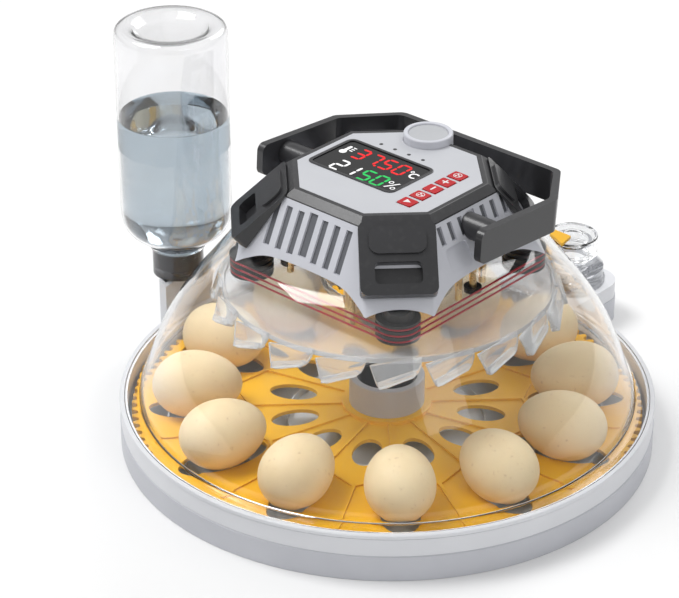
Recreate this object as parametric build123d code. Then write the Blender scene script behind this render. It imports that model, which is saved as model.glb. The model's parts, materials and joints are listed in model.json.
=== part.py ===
from build123d import *
import math
import os

# Tabletop egg incubator. Millimetres, +Z up, origin at the centre of the base on the table.
# -Y is the louvred front of the control head, +X its right side, +Y its back.

# ---------------------------------------------------------------- driving dimensions
BASE_R = 170.0          # outer radius of the round base
BASE_SPLIT_Z = 17.0     # parting line between the tub and the rim
BASE_TOP_Z = 28.4       # top face of the rim
WALL = 4.0              # wall of tub and rim
FLOOR_Z = 4.0           # inside floor of the tub
SEAL_TOP_Z = 29.0       # the lid rests on the seal at this height

COLUMN_R = 24.0
COLUMN_TOP_Z = 41.0
TRAY_TOP_Z = 19.0
TRAY_T = 2.5
TRAY_BORE_R = COLUMN_R + 0.06
TRAY_TEETH = 120
PINION_TEETH = 12
GEAR_MODULE = 320.0 / TRAY_TEETH
PINION_DEG = 103.5      # where the pinion stands round the tray
EGGS = 12
EGG_PITCH = 360.0 / EGGS
EGG_DEG = -45.3         # direction of the first egg station
EGG_RING_R = 120.0
EGG_HALF_LENGTH = 28.2
EGG_HALF_WIDTH = 21.4
SLOT_HALF_WIDTH = 13.0  # half width of the oval slot that an egg lies in

DOME_R = 157.0
DOME_WALL = 2.4
LID_TOP_OF_FLANGE_Z = 31.6
CROWN_Z = 146.0
CROWN_HOLE_R = 69.0

POST_RING_R = 84.0      # heater posts, on the diagonals
POST_R = 13.4
WIRE_R = 0.65
GUIDE_R = 103.5
GUIDE_Z = 110.0
VANES = 20

HEAD_TOP_Z = 183.2
SHROUD_TOP_Z = 179.0
SHROUD_LOW_Z = 131.5
SHROUD_WALL = 3.0
FACE_HALF = 60.0        # half width across the faces at the top of the shroud
CORNER_HALF = 63.6      # half width across the corners there
FACE_LEAN = 0.489       # growth of the half widths for each mm down
CORNER_LEAN = 0.7085

HANDLE_X = 88.0
HANDLE_BACK_Y = 85.5
HANDLE_PIVOT_Y = 0.0
HANDLE_PIVOT_Z = 168.5
PIN_R = 4.0

BOTTLE_X = -178.4
BOTTLE_Y = -8.4
BOTTLE_R = 36.9
BOTTLE_TOP_Z = 232.0
COLLAR_LOW_Z = 54.6
NECK_Z = 73.6
WATER_Z = 168.6
PORT_X = -4.0
PORT_Y = 197.0

# base
POD = (-66.0, 24.0, 140.0, 224.0)    # rear pod of the base: x and y limits
POD_CORNER = 18.0
TOWER_POINTS = [(-171, -28), (-177, -28), (-190, -13), (-190, -4), (-177, 11), (-171, 11)]
FOOT_HEIGHT = 1.5

# gear teeth, above and below the pitch circle
ADDENDUM = 2.0
DEDENDUM = 2.5

# heater and air guide
STANDOFF_R = 63.0
STANDOFF_DEG = (60, 170, 290)
PROBE_R = 56.0
PROBE_DEG = 120
WIRE_HEIGHTS = (118.6, 122.6, 126.6)
TERMINAL_R = 61.0
TERMINAL_DEG = (-5, 8, 21, 213, 222, 231)

# control head
BUTTON_X = 35.6
BUTTON_Y = (-24.1, -12.4, -0.7, 10.9, 22.5)
BUTTON_SIZE = (10.4, 8.8)
LED_Y = 25.8
LED_X = (-28.9, -17.6, -6.3, 5.1)
CUP_X, CUP_Y = -12.0, 51.0
CUP_R = 15.6
WINDOW = (-46.5, 19.5, -21.5, 18.5)     # display window: x and y limits
PLATE_Z = 181.4
INLET_Y, INLET_Z = -32.0, 156.0
HEAD_SCREW_R = 62.0
HEAD_SCREW_DEG = (20, 160, 200, 340)
SIDE_SLOTS_Y = [3.0 + side * step for side in (-1, 1) for step in (10.4, 19.8, 29.2)]
GRILLE_X = [-34.0 + 9.6 * k for k in range(7)]
PANEL_WIDTH = 46.0
RECESS_DEPTH = 6.6
# corner panels in turn, with the distance from the axis and the height of the outer lip
PANELS = (("front_right", (97.0, 150.5)), ("back_right", (92.5, 149.0)),
          ("back_left", (92.5, 149.0)), ("front_left", (97.0, 150.5)))

os.makedirs("parts", exist_ok=True)


# ---------------------------------------------------------------- helpers
def disc(radius, low, high, x=0.0, y=0.0):
    """An upright cylinder between two heights."""
    return Pos(x, y, low) * Cylinder(radius, high - low, align=(Align.CENTER, Align.CENTER, Align.MIN))


def ring(outer, inner, low, high, x=0.0, y=0.0):
    """An upright tube between two heights."""
    return disc(outer, low, high, x, y) - disc(inner, low - 1, high + 1, x, y)


def block(x0, x1, y0, y1, z0, z1):
    """A box given by its limits."""
    return Pos((x0 + x1) / 2, (y0 + y1) / 2, (z0 + z1) / 2) * Box(x1 - x0, y1 - y0, z1 - z0)


def polar(radius, degrees):
    """A point at a radius and direction."""
    return radius * math.cos(math.radians(degrees)), radius * math.sin(math.radians(degrees))


def prism(points, low, high):
    """A straight-sided solid over a closed outline."""
    outline = Face(Wire.make_polygon([Vector(x, y, low) for x, y in points], close=True))
    return extrude(outline, amount=high - low, dir=(0, 0, 1))


def octagon_points(half, corner):
    """A square of a half width with its corners cut at a half width on the diagonals."""
    cut = corner * math.sqrt(2) - half
    quarter = [(half, cut), (cut, half)]
    points = []
    for turn in range(4):
        for x, y in quarter:
            for _ in range(turn):
                x, y = -y, x
            points.append((x, y))
    return points


def octagon_face(half, corner, z):
    """A flat octagon at a height."""
    return Face(Wire.make_polygon([Vector(x, y, z) for x, y in octagon_points(half, corner)], close=True))


def octagon_block(half, corner, low, high):
    """A straight octagonal block."""
    return prism(octagon_points(half, corner), low, high)


def taper(low_size, low, high_size, high):
    """A block that narrows from one octagon to another."""
    return loft([octagon_face(*low_size, low), octagon_face(*high_size, high)], ruled=True)


def turned(points):
    """A solid of revolution about Z from (radius, height) corners."""
    outline = Face(Wire.make_polygon([Vector(r, 0, z) for r, z in points], close=True))
    return revolve(outline, axis=Axis.Z, revolution_arc=360)


def save(name, *solids):
    """Write one node, with all of its solids."""
    pieces = []
    for solid in solids:
        pieces.extend(solid.solids())
    shape = pieces[0] if len(pieces) == 1 else Compound(children=pieces)
    export_step(shape, f"parts/{name}.step")


def shroud_half(z, inset=0.0):
    """Half widths of the shroud, across faces and across corners, at a height."""
    drop = SHROUD_TOP_Z - z
    return FACE_HALF + drop * FACE_LEAN - inset, CORNER_HALF + drop * CORNER_LEAN - inset


# ---------------------------------------------------------------- dome profile, used by several pieces
DOME_POINTS = [(DOME_R, LID_TOP_OF_FLANGE_Z), (152, 48), (143, 71), (131, 91.5), (113, 115),
               (99, 132.5), (88, 141), (72, CROWN_Z)]


def inset_points(points, wall):
    """The same profile moved inwards along its normals."""
    moved = []
    for index, (r, z) in enumerate(points):
        before = points[max(index - 1, 0)]
        after = points[min(index + 1, len(points) - 1)]
        along_r, along_z = after[0] - before[0], after[1] - before[1]
        if index == 0:
            along_r, along_z = 0.0, 1.0
        if index == len(points) - 1:
            along_r, along_z = -1.0, 0.0
        length = math.hypot(along_r, along_z)
        moved.append((r - wall * along_z / length, z + wall * along_r / length))
    return moved


def dome_curve(points):
    """A smooth profile that leaves the flange upright and ends level."""
    return Spline([Vector(r, 0, z) for r, z in points], tangents=[Vector(0, 0, 1), Vector(-1, 0, 0)])


def dome_solid(inset):
    """The dome filled solid, drawn in by an inset."""
    points = inset_points(DOME_POINTS, inset)
    first, last = points[0], points[-1]
    curve = dome_curve(points)
    rest = Polyline(Vector(last[0], 0, last[1]), Vector(0, 0, last[1]), Vector(0, 0, first[1]),
                    Vector(first[0], 0, first[1]))
    return revolve(Face(Wire([*curve.edges(), *rest.edges()])), axis=Axis.Z, revolution_arc=360)


# ---------------------------------------------------------------- base
PINION_R = GEAR_MODULE * PINION_TEETH / 2
PINION_X, PINION_Y = polar(GEAR_MODULE * (TRAY_TEETH + PINION_TEETH) / 2, PINION_DEG)


def pod_block(inset, low, high):
    """The rounded pod at the back of the base, drawn in by an inset."""
    x0, x1, y0, y1 = POD
    body = block(x0 + inset, x1 - inset, y0 + inset, y1 - inset, low, high)
    return fillet(body.edges().filter_by(Axis.Z), POD_CORNER - inset)


def pod_screw_places():
    """Where the screws of the pod stand."""
    x0, x1, y0, y1 = POD
    margin = 10.5
    return [(x0 + margin, y1 - margin), (x1 - margin, y1 - margin), (x1 - 16, 176.0)]


def build_base():
    tub = disc(BASE_R, 0, BASE_SPLIT_Z) + pod_block(0, 0, BASE_SPLIT_Z)
    tub -= disc(BASE_R - WALL, FLOOR_Z, BASE_SPLIT_Z + 1)
    tub -= pod_block(WALL, FLOOR_Z, BASE_SPLIT_Z + 1)
    tub -= ring(156, 27, -1, FOOT_HEIGHT)
    for x, y in pod_screw_places():
        tub += disc(4.0, FLOOR_Z, BASE_SPLIT_Z, x, y)
        tub -= disc(3.4, -1, 2.0, x, y)
        tub -= disc(1.7, 0, BASE_SPLIT_Z + 1, x, y)
    tub -= block(-176, -160, BOTTLE_Y - 4.05, BOTTLE_Y + 4.05, 5.95, 12.05)
    outer = [edge for edge in tub.edges().filter_by(GeomType.CIRCLE)
             if edge.radius == BASE_R and edge.center().Z > 10]
    save("base_tub", chamfer(outer, 0.8))

    rim = disc(BASE_R - 0.5, BASE_SPLIT_Z, BASE_TOP_Z) + pod_block(0.5, BASE_SPLIT_Z, BASE_TOP_Z)
    rim -= disc(BASE_R - 5, BASE_SPLIT_Z - 1, BASE_TOP_Z + 1)
    rim -= pod_block(WALL + 0.5, BASE_SPLIT_Z - 1, BASE_TOP_Z - 2.4) - disc(BASE_R - 5.5, 0, 40)
    rim -= disc(8.1, BASE_TOP_Z - 4, BASE_TOP_Z + 1, PORT_X, PORT_Y)
    for x, y in pod_screw_places():
        rim += disc(4.0, BASE_SPLIT_Z, BASE_TOP_Z - 1, x, y)
        rim -= disc(1.45, BASE_SPLIT_Z - 1, BASE_TOP_Z - 3, x, y)
    rim -= ring(168.6, 166.4, BASE_TOP_Z - 1.0, BASE_TOP_Z + 1)
    save("base_rim", rim)

    seal = ring(168.5, 166.5, BASE_TOP_Z - 0.95, SEAL_TOP_Z)
    save("lid_seal", seal)

    pads = [disc(9, 0, FOOT_HEIGHT, *polar(144, 30 + 60 * k)) for k in range(6)]
    save("foot_pads", *pads)

    screws = []
    for x, y in pod_screw_places():
        screw = disc(3.0, 0.4, 2.0, x, y) + disc(1.4, 2.0, BASE_TOP_Z - 4, x, y)
        screws.append(screw - block(x - 2, x + 2, y - 0.4, y + 0.4, 0, 1.2))
    save("pod_screws", *screws)

    pan = ring(140, 27, 4.2, 5.4)
    for outer_r in (28.2, 64, 102, 140):
        pan += ring(outer_r, outer_r - 1.2, 4.2, 11.0)
    save("water_pan", pan)

    column = disc(COLUMN_R, FLOOR_Z, COLUMN_TOP_Z) - disc(19.5, 7, COLUMN_TOP_Z + 1)
    save("central_column", fillet(column.edges().filter_by(GeomType.CIRCLE).group_by(Axis.Z)[-1], 1.0))
    liner = disc(19.45, 7, 38) - disc(17.6, 9, 39)
    save("column_liner", liner)

    glides = []
    for k in range(6):
        x, y = polar(151, 15 + 60 * k)
        glide = disc(3.5, FLOOR_Z, 13.3, x, y)
        glides.append(fillet(glide.edges().group_by(Axis.Z)[-1], 1.0))
    save("tray_glides", *glides)


# ---------------------------------------------------------------- turning tray and its drive


def gear_outline(teeth, pitch_r, phase, root_share, tip_share):
    """Outline of a spur gear: straight flanks between a root and a tip circle."""
    step = 360.0 / teeth
    points = []
    for k in range(teeth):
        centre = phase + k * step
        for r, share in ((pitch_r - DEDENDUM, -root_share), (pitch_r + ADDENDUM, -tip_share),
                         (pitch_r + ADDENDUM, tip_share), (pitch_r - DEDENDUM, root_share)):
            points.append(polar(r, centre + share * step))
    return points


def build_tray():
    tray = disc(156, TRAY_TOP_Z - TRAY_T, TRAY_TOP_Z)
    gear = prism(gear_outline(TRAY_TEETH, 160.0, 0.0, 0.34, 0.14), 14.0, TRAY_TOP_Z)
    tray += gear - disc(152.5, 0, 30)
    tray += disc(28.5, TRAY_TOP_Z - TRAY_T, 21.6)
    ridge_top = TRAY_TOP_Z + 1.3
    for k in range(EGGS):
        station = EGG_DEG + k * EGG_PITCH
        between = station + EGG_PITCH / 2
        spoke = block(27, 87, -1.1, 1.1, TRAY_TOP_Z - 1, ridge_top)
        outer_rib = block(100, 150, -1.1, 1.1, TRAY_TOP_Z - 1, ridge_top)
        tray += Rot(0, 0, station) * spoke
        tray += Rot(0, 0, between) * outer_rib
        for side in (-1, 1):
            start = Vector(*polar(87, station))
            end = Vector(*polar(100.5, station + side * EGG_PITCH / 2))
            run = end - start
            arm = block(0, run.length, -1.1, 1.1, TRAY_TOP_Z - 1, ridge_top)
            tray += Pos(start.X, start.Y, 0) * Rot(0, 0, math.degrees(math.atan2(run.Y, run.X))) * arm
    slot = extrude(Ellipse(30.5, SLOT_HALF_WIDTH), amount=12)
    drain = extrude(Ellipse(15.5, 9.2), amount=12)
    for k in range(EGGS):
        station = EGG_DEG + k * EGG_PITCH
        tray -= Rot(0, 0, station) * Pos(EGG_RING_R + 1, 0, TRAY_TOP_Z - 8) * slot
        tray -= Rot(0, 0, station + EGG_PITCH / 2) * Pos(61, 0, TRAY_TOP_Z - 8) * drain
    tray -= disc(TRAY_BORE_R, 0, 30)
    save("egg_tray", tray)

    height = TRAY_TOP_Z + math.sqrt(EGG_HALF_WIDTH ** 2 - SLOT_HALF_WIDTH ** 2) + 0.3
    steps = 9
    profile = []
    for k in range(steps):
        angle = math.pi * k / (steps - 1)
        blunt = 1.0 + 0.10 * -math.cos(angle)
        profile.append(Vector(-EGG_HALF_LENGTH * math.cos(angle), 0, EGG_HALF_WIDTH * math.sin(angle) * blunt))
    curve = Spline(profile, tangents=[Vector(0, 0, 1), Vector(0, 0, -1)])
    half = Face(Wire([*curve.edges(), *Line(profile[-1], profile[0]).edges()]))
    egg = revolve(half, axis=Axis.X, revolution_arc=360)
    save("eggs", *[Rot(0, 0, EGG_DEG + k * EGG_PITCH) * Pos(EGG_RING_R, 0, height) * egg for k in range(EGGS)])

    toward = PINION_DEG + 180
    outline = gear_outline(PINION_TEETH, PINION_R, toward, 0.30, 0.10)
    pinion = Pos(PINION_X, PINION_Y, 0) * prism(outline, 14.2, 18.8)
    pinion += disc(PINION_R - DEDENDUM, 14.0, 20.5, PINION_X, PINION_Y)
    save("drive_pinion", pinion + disc(2.5, 8.0, 24.0, PINION_X, PINION_Y))

    motor = disc(19.5, FLOOR_Z, 12.4, PINION_X, PINION_Y) - disc(2.55, 7.8, 13, PINION_X, PINION_Y)
    save("turning_motor", motor)


# ---------------------------------------------------------------- water side
def build_water_side():
    tower = prism(TOWER_POINTS, 0, COLLAR_LOW_Z)
    tower += prism([(-171, -28), (-171, 11), (-160, 11), (-160, -28)], 0, BASE_TOP_Z) - disc(BASE_R, -1, 60)
    inner = [(-173, -26), (-176.1, -26), (-188, -12.3), (-188, -4.7), (-176.1, 9), (-173, 9)]
    tower -= prism(inner, 4, COLLAR_LOW_Z + 1)
    lip = loft([Face(Wire.make_polygon([Vector(-169, -29, 50), Vector(-178, -29, 57), Vector(-169, -29, 57)])),
                Face(Wire.make_polygon([Vector(-169, 6, 54.4), Vector(-172, 6, 57), Vector(-169, 6, 57)]))],
               ruled=True)
    tower -= lip
    tower -= block(-176, -160, BOTTLE_Y - 4.05, BOTTLE_Y + 4.05, 5.95, 12.05)
    save("bottle_tower", tower)
    spout = block(-173.5, -150, BOTTLE_Y - 4, BOTTLE_Y + 4, 6, 12)
    save("water_spout", spout - block(-174, -149, BOTTLE_Y - 3, BOTTLE_Y + 3, 7, 11))

    wall = 1.6
    neck_r = 14.0

    def bottle_solid(inset, low, high):
        """The inverted bottle filled solid: neck, rounded shoulder and straight body."""
        shoulder_z = 99.6
        body_r = BOTTLE_R - inset
        throat_r = neck_r - inset
        lines = [Line(Vector(0, 0, low), Vector(throat_r, 0, low)),
                 Line(Vector(throat_r, 0, low), Vector(throat_r, 0, 76.5))]
        shoulder = Spline([Vector(throat_r, 0, 76.5), Vector(24.5 - inset, 0, 81.5 + inset),
                           Vector(body_r, 0, shoulder_z)], tangents=[Vector(0.9, 0, 0.3), Vector(0, 0, 1)])
        top_round = 5.0
        side = Line(Vector(body_r, 0, shoulder_z), Vector(body_r, 0, high - top_round))
        corner = ThreePointArc(Vector(body_r, 0, high - top_round),
                               Vector(body_r - top_round * 0.2929, 0, high - top_round * 0.2929),
                               Vector(body_r - top_round, 0, high))
        close = Polyline(Vector(body_r - top_round, 0, high), Vector(0, 0, high), Vector(0, 0, low))
        wire = Wire([*lines[0].edges(), *lines[1].edges(), *shoulder.edges(), *side.edges(),
                     *corner.edges(), *close.edges()])
        return Pos(BOTTLE_X, BOTTLE_Y, 0) * revolve(Face(wire), axis=Axis.Z, revolution_arc=360)

    bottle = bottle_solid(0, 60, BOTTLE_TOP_Z) - bottle_solid(wall, 58, BOTTLE_TOP_Z - wall)
    bottle += ring(18.5, neck_r - wall, NECK_Z, NECK_Z + 2.4, BOTTLE_X, BOTTLE_Y)
    save("water_bottle", bottle)
    water = bottle_solid(wall + 0.05, 62.05, BOTTLE_TOP_Z - 2) - disc(60, WATER_Z, 260, BOTTLE_X, BOTTLE_Y)
    save("bottle_water", water)

    collar = disc(17, COLLAR_LOW_Z, NECK_Z - 0.05, BOTTLE_X, BOTTLE_Y)
    collar -= disc(neck_r + 0.05, 60, 90, BOTTLE_X, BOTTLE_Y)
    collar -= disc(3.55, 50, 70, BOTTLE_X, BOTTLE_Y)
    save("bottle_cap", collar)
    valve = disc(3.5, 44, 60, BOTTLE_X, BOTTLE_Y) + disc(9, 60, 62, BOTTLE_X, BOTTLE_Y)
    valve -= disc(2.0, 43, 63, BOTTLE_X, BOTTLE_Y)
    save("cap_valve", valve)

    port = disc(23.5, BASE_TOP_Z, 31, PORT_X, PORT_Y) + disc(22.2, 31, 40, PORT_X, PORT_Y)
    port += Pos(PORT_X, PORT_Y, 40) * extrude(Circle(22.2), amount=5, taper=45)
    port += disc(13.5, 44, 58, PORT_X, PORT_Y)
    port += ring(15.0, 12, 47.5, 49.0, PORT_X, PORT_Y)
    port += disc(8, BASE_TOP_Z - 2.3, BASE_TOP_Z, PORT_X, PORT_Y)
    port -= disc(11.2, 34, 60, PORT_X, PORT_Y) + disc(5.5, 20, 36, PORT_X, PORT_Y)
    save("filler_port", port)
    cap = disc(17.4, 49.5, 63, PORT_X, PORT_Y) - disc(15.2, 48, 60.8, PORT_X, PORT_Y)
    cap += ring(15.3, 13.6, 50.2, 51.6, PORT_X, PORT_Y)
    cap -= disc(6.5, 61.9, 64, PORT_X, PORT_Y)
    save("filler_cap", fillet(cap.edges().filter_by(GeomType.CIRCLE).group_by(Axis.Z)[-1], 0.8))
    tab = prism([(-13.3, 183.7), (-14.0, 190.4), (-0.3, 190.1), (2.2, 177.0)], 63.0, 65.2)
    save("filler_tab", tab)


# ---------------------------------------------------------------- lid: dome, heater, air guide
def build_dome():
    shell = dome_solid(0) - dome_solid(DOME_WALL)
    shell += ring(166.9, DOME_R - DOME_WALL, 30.2, LID_TOP_OF_FLANGE_Z)
    shell -= disc(CROWN_HOLE_R, 100, 160)
    save("dome", shell)
    trim = ring(BASE_R, 165.0, SEAL_TOP_Z, LID_TOP_OF_FLANGE_Z) - ring(167.0, 164, 30.15, 40)
    top_edges = [edge for edge in trim.edges().filter_by(GeomType.CIRCLE)
                 if edge.radius == BASE_R and edge.center().Z > 31]
    save("lid_trim_ring", fillet(top_edges, 0.7))

    guide = ring(GUIDE_R, 40, GUIDE_Z - 2, GUIDE_Z) + ring(GUIDE_R, GUIDE_R - 1.6, GUIDE_Z - 2, GUIDE_Z + 1.5)
    guide += ring(41.5, 40, GUIDE_Z - 2, GUIDE_Z + 4)
    blade = Pos(GUIDE_R + 2.6, 0, GUIDE_Z - 6.5) * Rot(0, -18, 0) * Rot(14, 0, 0) * Box(1.6, 31, 15)
    for k in range(VANES):
        guide += Rot(0, 0, EGG_DEG - 1.2 + 360.0 / VANES * k) * blade
    for degrees in STANDOFF_DEG:
        x, y = polar(STANDOFF_R, degrees)
        guide -= disc(1.55, 90, 130, x, y)
    x, y = polar(PROBE_R, PROBE_DEG)
    guide -= disc(4, 90, 130, x, y)
    save("air_guide", guide)


def build_heater():
    inside = dome_solid(DOME_WALL + 0.1)
    posts = []
    for k in range(4):
        x, y = polar(POST_RING_R, 45 + 90 * k)
        post = disc(POST_R, 116.5, 129.2, x, y) + disc(9.5, 129.0, 150, x, y)
        post -= disc(6.0, 110, 118.0, x, y)
        for z in WIRE_HEIGHTS:
            post -= ring(POST_R + 1, POST_R - 1.4, z - 0.9, z + 0.9, x, y)
        posts.append(post & inside)
    save("heater_posts", *posts)
    wires = []
    offset = POST_RING_R / math.sqrt(2)
    reach = POST_R - 1.4 + WIRE_R + 0.05
    for z in WIRE_HEIGHTS:
        half = offset + reach
        wire_path = Pos(0, 0, z) * RectangleRounded(2 * half, 2 * half, reach)
        start = Plane(origin=(0, -half, z), x_dir=(0, 1, 0), z_dir=(1, 0, 0))
        wires.append(sweep(start * Circle(WIRE_R), path=wire_path.face().outer_wire()))
    save("heating_wires", *wires)

    standoffs = []
    for degrees in STANDOFF_DEG:
        x, y = polar(STANDOFF_R, degrees)
        standoffs.append(disc(3.0, GUIDE_Z, CROWN_Z + 0.2, x, y) + disc(1.5, GUIDE_Z - 3, GUIDE_Z, x, y))
    save("guide_standoffs", *standoffs)
    rods = []
    for degrees in TERMINAL_DEG:
        x, y = polar(TERMINAL_R, degrees)
        rods.append(disc(2.2, 119, CROWN_Z + 0.2, x, y))
    save("heater_terminals", *rods)
    discs = []
    for degrees in (TERMINAL_DEG[1], TERMINAL_DEG[4]):
        x, y = polar(TERMINAL_R, degrees)
        discs.append(disc(5.5, 119.5, 122.5, x, y) - disc(2.25, 119, 123, x, y))
    save("terminal_insulators", *discs)
    x, y = polar(PROBE_R, PROBE_DEG)
    probe = disc(2.4, 98, CROWN_Z + 0.2, x, y)
    save("temperature_probe", fillet(probe.edges().group_by(Axis.Z)[0], 2.0))

    motor = disc(17, 132, CROWN_Z + 0.2) - disc(2.05, 131, 142)
    save("fan_motor", motor)
    hub = disc(13, 118, 130) + disc(2.0, 129, 141)
    blade = Pos(24, 0, 124) * Rot(32, 0, 0) * Box(26, 12, 1.4)
    for k in range(7):
        hub += Rot(0, 0, 360 / 7 * k) * blade
    save("fan_rotor", hub)


# ---------------------------------------------------------------- lid: control head


def corner_frame(k):
    """A frame on one corner of the head: x outwards, y along the corner, z up."""
    return Rot(0, 0, -45 + 90 * k)


def lean_point(distance_from_top):
    """Half width across the faces that far below the top of the shroud, measured down the face."""
    drop = distance_from_top / math.hypot(1, FACE_LEAN)
    return FACE_HALF + drop * FACE_LEAN, SHROUD_TOP_Z - drop


def face_tool(width, length, depth, along, start):
    """A cutter lying on the +X face, start mm below its top edge, sunk to a depth."""
    half, z = lean_point(start + length / 2)
    tilt = math.degrees(math.atan(FACE_LEAN))
    body = Box(2 * depth, width, length)
    return Pos(half, along, z) * Rot(0, -tilt, 0) * body


def build_shroud():
    shroud = taper(shroud_half(SHROUD_LOW_Z), SHROUD_LOW_Z, shroud_half(SHROUD_TOP_Z), SHROUD_TOP_Z)
    vertical = [edge for edge in shroud.edges() if abs(edge.tangent_at(0.5).Z) > 0.5]
    shroud = fillet(vertical, 3.0)
    inner = taper(shroud_half(SHROUD_LOW_Z - 1, SHROUD_WALL), SHROUD_LOW_Z - 1,
                  shroud_half(SHROUD_TOP_Z + 1, SHROUD_WALL), SHROUD_TOP_Z + 1)
    shroud -= inner
    shroud -= dome_solid(-0.35)
    for k, x in enumerate(GRILLE_X):
        middle = k == 3
        groove = face_tool(6.4 if middle else 4.8, 27, 1.5, x, 3.5 if middle else 5.0)
        shroud -= Rot(0, 0, -90) * groove
    for turn, middle in ((0, 3.0), (180, -3.0)):
        for along in SIDE_SLOTS_Y:
            shroud -= Rot(0, 0, turn) * face_tool(4.0, 11.5, 1.6, along * (1 if turn == 0 else -1), 3.2)
        shroud -= Rot(0, 0, turn) * face_tool(6.5, 16.5, 1.3, middle, 2.6)
    for along in SIDE_SLOTS_Y:
        shroud -= Rot(0, 0, 90) * face_tool(4.0, 22, 1.6, along - 3, 4)
    half, z = lean_point(25.0)
    lean = math.degrees(math.atan(FACE_LEAN))
    pocket = Pos(half, -17.5, z) * Rot(0, -lean - 8, 0) * Pos(1.9, 0, 0) * Box(6, 19.5, 15.5)
    shroud -= fillet(pocket.edges().filter_by(lambda edge: abs(edge.length - 6) < 0.01), 3.0)
    for side in (-1, 1):
        shroud -= Pos(side * 75, HANDLE_PIVOT_Y, HANDLE_PIVOT_Z) * Rot(0, 90, 0) * Cylinder(5.05, 40)
    shroud -= Pos(-75, INLET_Y, INLET_Z) * Rot(0, 90, 0) * Cylinder(5.52, 20)
    shroud -= disc(CUP_R + 0.1, 170, 200, CUP_X, CUP_Y)
    save("head_shroud", shroud)


def build_frame_and_panels():
    frame = octagon_block(60.4, 63.9, 176.2, 179.2)
    frame += taper((60.4, 63.9), 179.2, (55.2, 58.4), HEAD_TOP_Z)
    frame = fillet([edge for edge in frame.edges() if edge.center().Z > 182], 0.8)
    frame -= octagon_block(52.5, 55.4, PLATE_Z, 190)
    frame -= octagon_block(48, 51, 170, 190)
    frame -= taper(shroud_half(170), 170, shroud_half(SHROUD_TOP_Z), SHROUD_TOP_Z + 0.02)
    frame -= disc(CUP_R + 0.1, 170, 200, CUP_X, CUP_Y)
    save("top_frame", frame)

    for k, (name, low) in enumerate(PANELS):
        save(f"corner_panel_{name}", corner_frame(k) * corner_panel(low))


def corner_panel(low):
    """A dark corner panel that slopes from the frame down to its outer lip, with a raised shield over a recess."""
    top = (62.3, 182.0)
    run, drop = low[0] - top[0], top[1] - low[1]
    length = math.hypot(run, drop)
    slope = math.degrees(math.atan2(run, drop))
    foot = low[1] - 6.0
    wall_at_foot = CORNER_HALF + (SHROUD_TOP_Z - foot) * CORNER_LEAN
    outline = [(64.0, 179.2), top, low, (low[0] - 1.4, low[1] - 3.0), (wall_at_foot + 0.1, foot)]
    profile = Face(Wire.make_polygon([Vector(c, -30, z) for c, z in outline], close=True))
    facing = Pos((top[0] + low[0]) / 2, 0, (top[1] + low[1]) / 2) * Rot(0, 90 - slope, 0)
    rounded = facing * extrude(RectangleRounded(length - 0.6, PANEL_WIDTH, 5.0), amount=14, both=True)
    panel = extrude(profile, amount=60, dir=(0, 1, 0)) & rounded

    def on_slope(share, lift):
        """A frame on the sloped face: x outwards from it, y along the corner, z up the slope."""
        normal = (drop / length, run / length)
        return Pos(top[0] + run * share + normal[0] * lift, 0, top[1] - drop * share + normal[1] * lift) * Rot(0, -slope, 0)

    shield = on_slope(0.27, 0.4) * Box(2.4, 34, 17)
    shield = fillet([edge for edge in shield.edges() if abs(edge.length - 2.4) < 0.01], 6.0)
    recess = on_slope(0.70, 0) * Box(2 * RECESS_DEPTH, 28, 13.6)
    recess = fillet([edge for edge in recess.edges() if abs(edge.length - 2 * RECESS_DEPTH) < 0.01], 3.0)
    walls = taper(shroud_half(130, -0.05), 130, shroud_half(190, -0.05), 190)
    return panel + shield - Rot(0, 0, 45) * walls - recess


def build_head_inside():
    plate = octagon_block(71.2, 71.5, CROWN_Z + 0.2, CROWN_Z + 3.0)
    plate -= disc(10, 140, 150)
    for degrees in HEAD_SCREW_DEG:
        x, y = polar(HEAD_SCREW_R, degrees)
        plate += disc(3.5, CROWN_Z + 3, 161, x, y)
    save("head_floor", plate)
    board = octagon_block(46.5, 50, 172, 173.6)
    for k in range(6):
        board += block(-30 + 10 * k, -24 + 10 * k, -34, -26, 168.8, 172)
    board += block(-20, 16, -8, 14, 169.6, 172)
    save("control_board", board)
    supply = block(-34, 34, -22, 22, CROWN_Z + 3.0, CROWN_Z + 4.6)
    supply += block(-26, -4, -14, 14, CROWN_Z + 4.6, 164) + disc(9, CROWN_Z + 4.6, 162, 16, 8)
    supply += disc(6, CROWN_Z + 4.6, 160, 20, -12)
    save("power_board", supply)
    screws = []
    for degrees in HEAD_SCREW_DEG:
        x, y = polar(HEAD_SCREW_R, degrees)
        screws.append(disc(2.6, 161, 163, x, y) - block(x - 2, x + 2, y - 0.4, y + 0.4, 162, 164))
    save("head_screws", *screws)
    socket = Pos(-68.5, INLET_Y, INLET_Z) * Rot(0, 90, 0) * Cylinder(5.5, 13)
    socket -= Pos(-74.5, INLET_Y, INLET_Z) * Rot(0, 90, 0) * Cylinder(3.6, 20)
    pin = Pos(-68.5, INLET_Y, INLET_Z) * Rot(0, 90, 0) * Cylinder(1.0, 11)
    save("power_inlet", socket + pin)


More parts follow.
